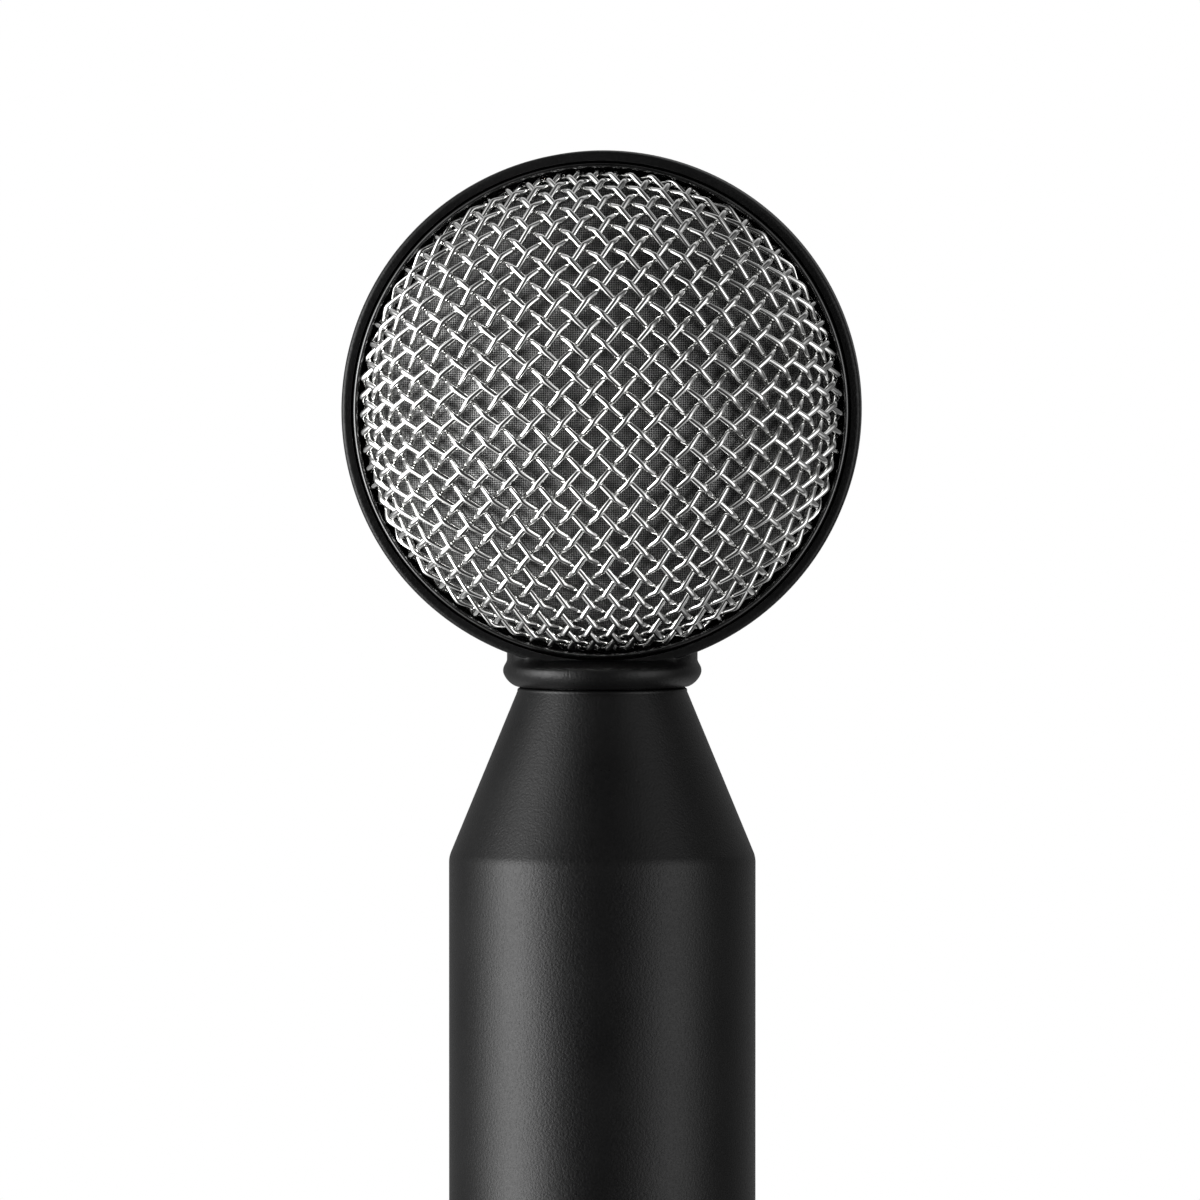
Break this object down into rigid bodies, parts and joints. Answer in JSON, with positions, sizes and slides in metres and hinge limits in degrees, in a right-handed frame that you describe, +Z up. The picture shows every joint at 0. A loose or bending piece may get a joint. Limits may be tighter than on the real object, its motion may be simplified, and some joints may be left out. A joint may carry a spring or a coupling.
{
  "type": "ribbon microphone",
  "caption": "Side-address double-ribbon microphone with a round wire-mesh head in a black ring, on a tapered black shaft with a three-pin connector foot.",
  "frame": {"origin": "centre of the shaft's flat lower end, on the shaft's axis", "axes": "+Z up the shaft from the connector to the head; -Y is the front of the head, the side that a speaker faces; +X is to the right of the front"},
  "size_m": [0.0384, 0.0364, 0.128],
  "materials": {
    "black_paint": "satin black, very fine grain",
    "black_plate": "black-plated metal, semi-gloss",
    "wire": "bright nickel-plated wire",
    "gauze": "dark fine-woven metal gauze",
    "iron": "ground soft iron, zinc plated",
    "magnet": "ground magnet alloy",
    "foil": "bright corrugated foil",
    "insulator": "brown phenolic laminate",
    "brass": "turned brass",
    "steel": "plated steel",
    "nickel": "satin nickel",
    "rubber": "soft black rubber",
    "foam": "open-cell foam",
    "laminations": "varnished nickel-iron sheets",
    "bobbin": "moulded nylon",
    "copper": "enamelled copper wire",
    "shield": "drawn nickel-iron shield",
    "insert": "moulded black insert",
    "gold": "gold-plated contact",
    "red_lead": "red insulation",
    "white_lead": "white insulation",
    "black_lead": "black insulation"
  },
  "bodies": {
    "microphone": {"bottom_clamp_bar": "brass", "bottom_clamp_base": "insulator", "bottom_clamp_screw_left": "steel", "bottom_clamp_screw_right": "steel", "bracket_grommet_left": "rubber", "bracket_grommet_right": "rubber", "bracket_screw_left": "steel", "bracket_screw_right": "steel", "connector_insert": "insert", "connector_pin_1": "gold", "connector_pin_2": "gold", "connector_pin_3": "gold", "connector_screw": "steel", "connector_shell": "nickel", "front_grille_ring": "black_plate", "front_inner_gauze": "gauze", "front_wire_grille": "wire", "ground_lead": "black_lead", "head_frame": "black_paint", "magnet_left": "magnet", "magnet_right": "magnet", "motor_bracket": "steel", "motor_yoke": "iron", "mount_screw_left": "steel", "mount_screw_right": "steel", "neck_nut": "brass", "neck_washer": "steel", "output_lead_cold": "white_lead", "output_lead_hot": "red_lead", "pole_piece_left": "iron", "pole_piece_right": "iron", "primary_winding": "copper", "rear_grille_ring": "black_plate", "rear_inner_gauze": "gauze", "rear_wire_grille": "wire", "ribbon_lead_bottom": "black_lead", "ribbon_lead_top": "red_lead", "ribbon_screen_front": "steel", "ribbon_screen_rear": "steel", "secondary_winding": "copper", "shaft_housing": "black_paint", "top_clamp_bar": "brass", "top_clamp_base": "insulator", "top_clamp_screw_left": "steel", "top_clamp_screw_right": "steel", "transformer_bobbin": "bobbin", "transformer_can": "shield", "transformer_can_lid": "shield", "transformer_core_e": "laminations", "transformer_core_i": "laminations", "transformer_sleeve": "foam"},
    "front_ribbon": {"ribbon_front": "foil"},
    "rear_ribbon": {"ribbon_rear": "foil"}
  },
  "joints": [
    {"name": "front_ribbon_travel", "type": "slide", "parent": "microphone", "child": "front_ribbon", "axis": [0, 1, 0], "range_m": [-0.00015, 0.00015], "stiffness_N_per_m": 1},
    {"name": "rear_ribbon_travel", "type": "slide", "parent": "microphone", "child": "rear_ribbon", "axis": [0, 1, 0], "range_m": [-0.00015, 0.00015], "stiffness_N_per_m": 1}
  ],
  "couplings": [
    {"joint": "rear_ribbon_travel", "follows": "front_ribbon_travel", "ratio": 1}
  ]
}
